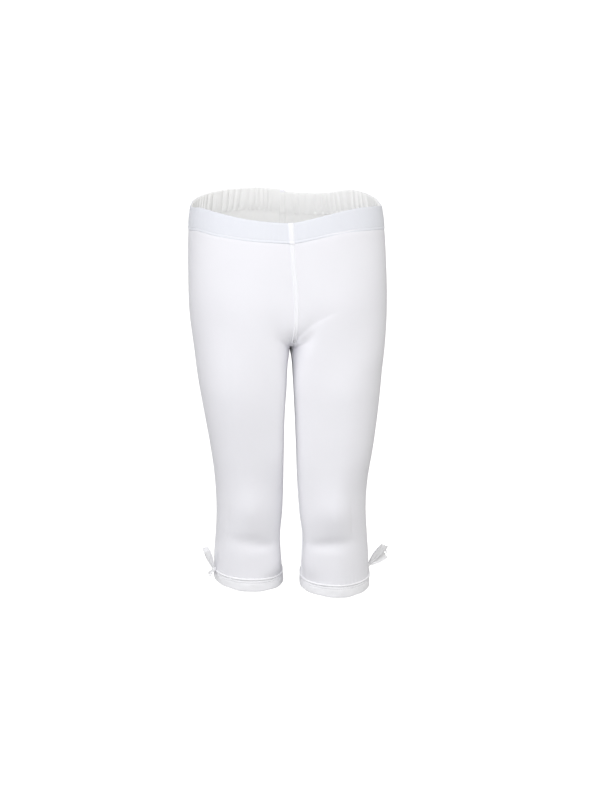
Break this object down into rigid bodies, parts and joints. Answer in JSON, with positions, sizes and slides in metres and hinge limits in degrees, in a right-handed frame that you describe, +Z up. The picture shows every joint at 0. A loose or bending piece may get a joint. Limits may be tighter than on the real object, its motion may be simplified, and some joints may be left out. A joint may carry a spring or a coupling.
{
  "type": "leggings",
  "caption": "Child's three-quarter-length white jersey leggings, filled out as worn, with an elastic waistband, turned hems and a ribbon bow at the outer side of each hem.",
  "frame": {"origin": "centre of the waist opening, level with the rim at the sides", "axes": "+Z up, -Y the front of the garment, +X towards the wearer's left"},
  "size_m": [0.257, 0.1834, 0.5068],
  "materials": {
    "jersey": "fine cotton and elastane single jersey, matt",
    "jersey_doubled": "the same jersey folded double, matt",
    "seam": "flat overlocked seam, matt",
    "ribbon": "narrow woven ribbon, soft sheen"
  },
  "bodies": {
    "root": {"leg_left": "jersey", "leg_right": "jersey", "waistband_left": "jersey_doubled", "waistband_right": "jersey_doubled", "hem_left": "jersey_doubled", "hem_right": "jersey_doubled", "front_seam": "seam", "back_seam": "seam", "back_seam_allowance": "seam", "inseam_left": "seam", "inseam_right": "seam", "bow_left_knot": "ribbon", "bow_left_loop_front": "ribbon", "bow_left_loop_back": "ribbon", "bow_left_tail_front": "ribbon", "bow_left_tail_back": "ribbon", "bow_right_knot": "ribbon", "bow_right_loop_front": "ribbon", "bow_right_loop_back": "ribbon", "bow_right_tail_front": "ribbon", "bow_right_tail_back": "ribbon"}
  },
  "joints": []
}
